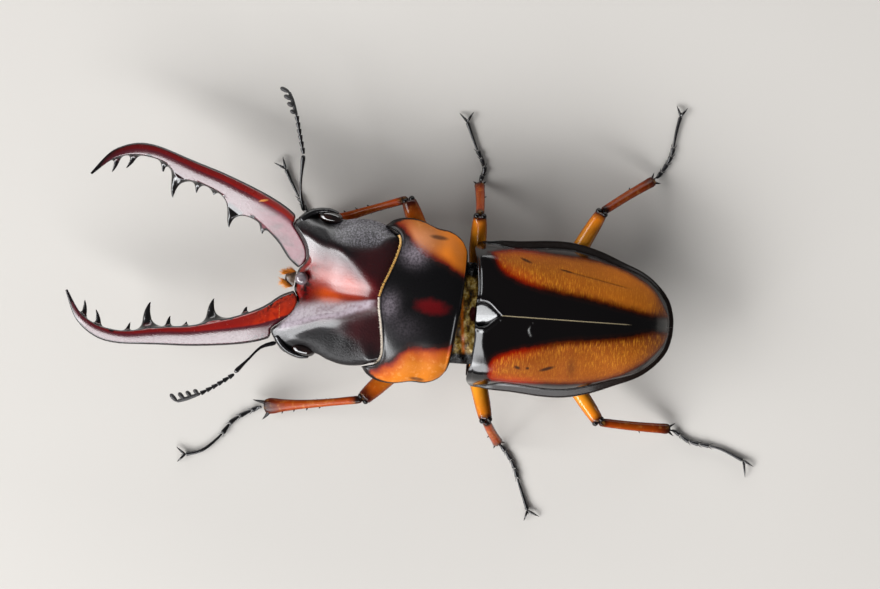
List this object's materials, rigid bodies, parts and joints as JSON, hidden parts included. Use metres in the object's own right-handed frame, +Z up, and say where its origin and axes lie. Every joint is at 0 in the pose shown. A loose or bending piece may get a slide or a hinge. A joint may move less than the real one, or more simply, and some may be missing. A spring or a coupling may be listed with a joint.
{
  "type": "stag beetle",
  "caption": "Still life-size stag beetle with long toothed jaws, amber and black wing cases and crimson mandibles, standing on its feet.",
  "frame": {"origin": "middle of the bounding box seen from above, at the level of the feet's undersides", "axes": "+Z up; the beetle faces -Y, so +Y runs rearward along the seam of its wing cases; its left side is +X"},
  "size_m": [0.0564, 0.0916, 0.0143],
  "materials": {
    "head_cuticle": "very dark red-brown cuticle, satin at the temples, glossy in the front hollow with an orange-red glow",
    "mandible": "deep crimson, highly polished, black along the outer edge and at teeth and tip",
    "eye": "dark red-brown, glassy",
    "mouth_parts": "red-brown, glossy, with golden hairs",
    "antenna_club": "dull black with a fine grey down",
    "black_cuticle": "black, glossy",
    "pronotum": "amber side patches on black, satin with a fine grain, thin polished black rim",
    "wing_case": "amber-ochre with a black band along the seam, black shoulders and rim, polished",
    "underside": "brown-black, glossy",
    "femur": "amber, glossy, black at the knee",
    "tibia": "red-brown, glossy, black at both ends"
  },
  "bodies": {
    "root": {"head": "head_cuticle", "eye_left": "eye", "eye_right": "eye", "labrum": "head_cuticle", "palp_left": "mouth_parts", "palp_right": "mouth_parts", "mandible_left": "mandible", "mandible_right": "mandible", "antenna_left_scape": "black_cuticle", "antenna_left_funicle": "black_cuticle", "antenna_left_club": "antenna_club", "antenna_right_scape": "black_cuticle", "antenna_right_funicle": "black_cuticle", "antenna_right_club": "antenna_club", "pronotum": "pronotum", "prosternum": "underside", "mesothorax": "underside", "scutellum": "black_cuticle", "metasternum": "underside", "abdomen": "underside", "elytron_left": "wing_case", "elytron_right": "wing_case", "leg_front_left_coxa": "underside", "leg_front_left_femur": "femur", "leg_front_left_tibia": "tibia", "leg_front_left_tarsus": "black_cuticle", "leg_front_right_coxa": "underside", "leg_front_right_femur": "femur", "leg_front_right_tibia": "tibia", "leg_front_right_tarsus": "black_cuticle", "leg_middle_left_coxa": "underside", "leg_middle_left_femur": "femur", "leg_middle_left_tibia": "tibia", "leg_middle_left_tarsus": "black_cuticle", "leg_middle_right_coxa": "underside", "leg_middle_right_femur": "femur", "leg_middle_right_tibia": "tibia", "leg_middle_right_tarsus": "black_cuticle", "leg_hind_left_coxa": "underside", "leg_hind_left_femur": "femur", "leg_hind_left_tibia": "tibia", "leg_hind_left_tarsus": "black_cuticle", "leg_hind_right_coxa": "underside", "leg_hind_right_femur": "femur", "leg_hind_right_tibia": "tibia", "leg_hind_right_tarsus": "black_cuticle"}
  },
  "joints": []
}
